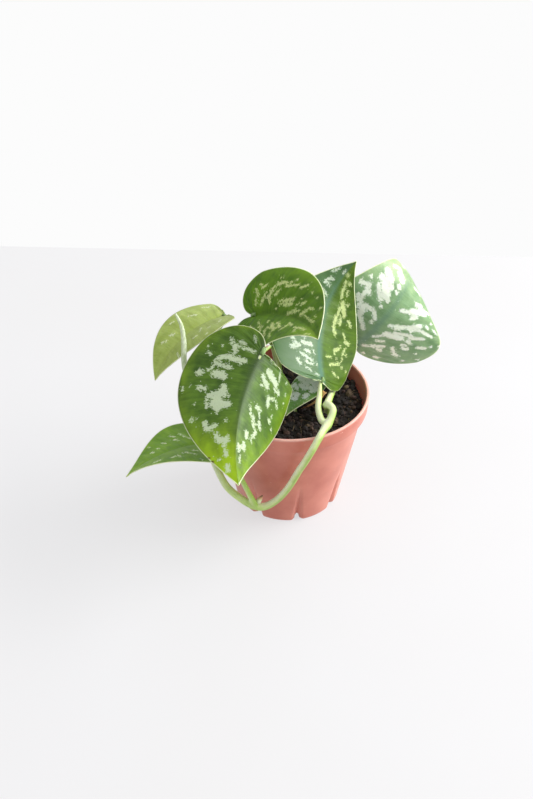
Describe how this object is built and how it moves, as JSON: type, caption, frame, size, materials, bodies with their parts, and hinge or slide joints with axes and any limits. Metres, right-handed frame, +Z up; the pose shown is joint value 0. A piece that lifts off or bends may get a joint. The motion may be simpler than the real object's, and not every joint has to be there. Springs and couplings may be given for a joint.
{
  "type": "potted trailing houseplant",
  "caption": "Young variegated satin pothos in a small round plastic nursery pot: heart-shaped silver-patched leaves, a looping vine hanging over the rim, dark soil.",
  "frame": {"origin": "centre of the pot's underside, on the table", "axes": "+Z up; +X to the right in the picture; +Y away from the viewer, who stands on the -Y side"},
  "size_m": [0.1751, 0.1663, 0.1382],
  "materials": {
    "pot": "satin",
    "soil": "matte, crumbly",
    "vine": "smooth, slightly glossy",
    "petiole_a": "smooth",
    "petiole_b": "smooth",
    "petiole_g": "smooth",
    "leaf_a": "satin, silver patches",
    "leaf_b": "satin, cream streaks",
    "leaf_c": "satin, cream patches",
    "leaf_d": "satin, mostly silver",
    "leaf_e": "satin, pale young blade",
    "leaf_f": "satin, cream streaks",
    "leaf_g": "satin, mostly silver",
    "new_leaf": "smooth",
    "dry_sheath": "dry, papery",
    "bud_scale": "dry, papery"
  },
  "bodies": {
    "root": {"pot": "pot", "soil": "soil", "vine": "vine", "petiole_a": "petiole_a", "petiole_b": "petiole_b", "petiole_g": "petiole_g", "leaf_a": "leaf_a", "leaf_b": "leaf_b", "leaf_c": "leaf_c", "leaf_d": "leaf_d", "leaf_e": "leaf_e", "leaf_f": "leaf_f", "leaf_g": "leaf_g", "new_leaf": "new_leaf", "dry_sheath": "dry_sheath", "bud_scale": "bud_scale"}
  },
  "joints": []
}
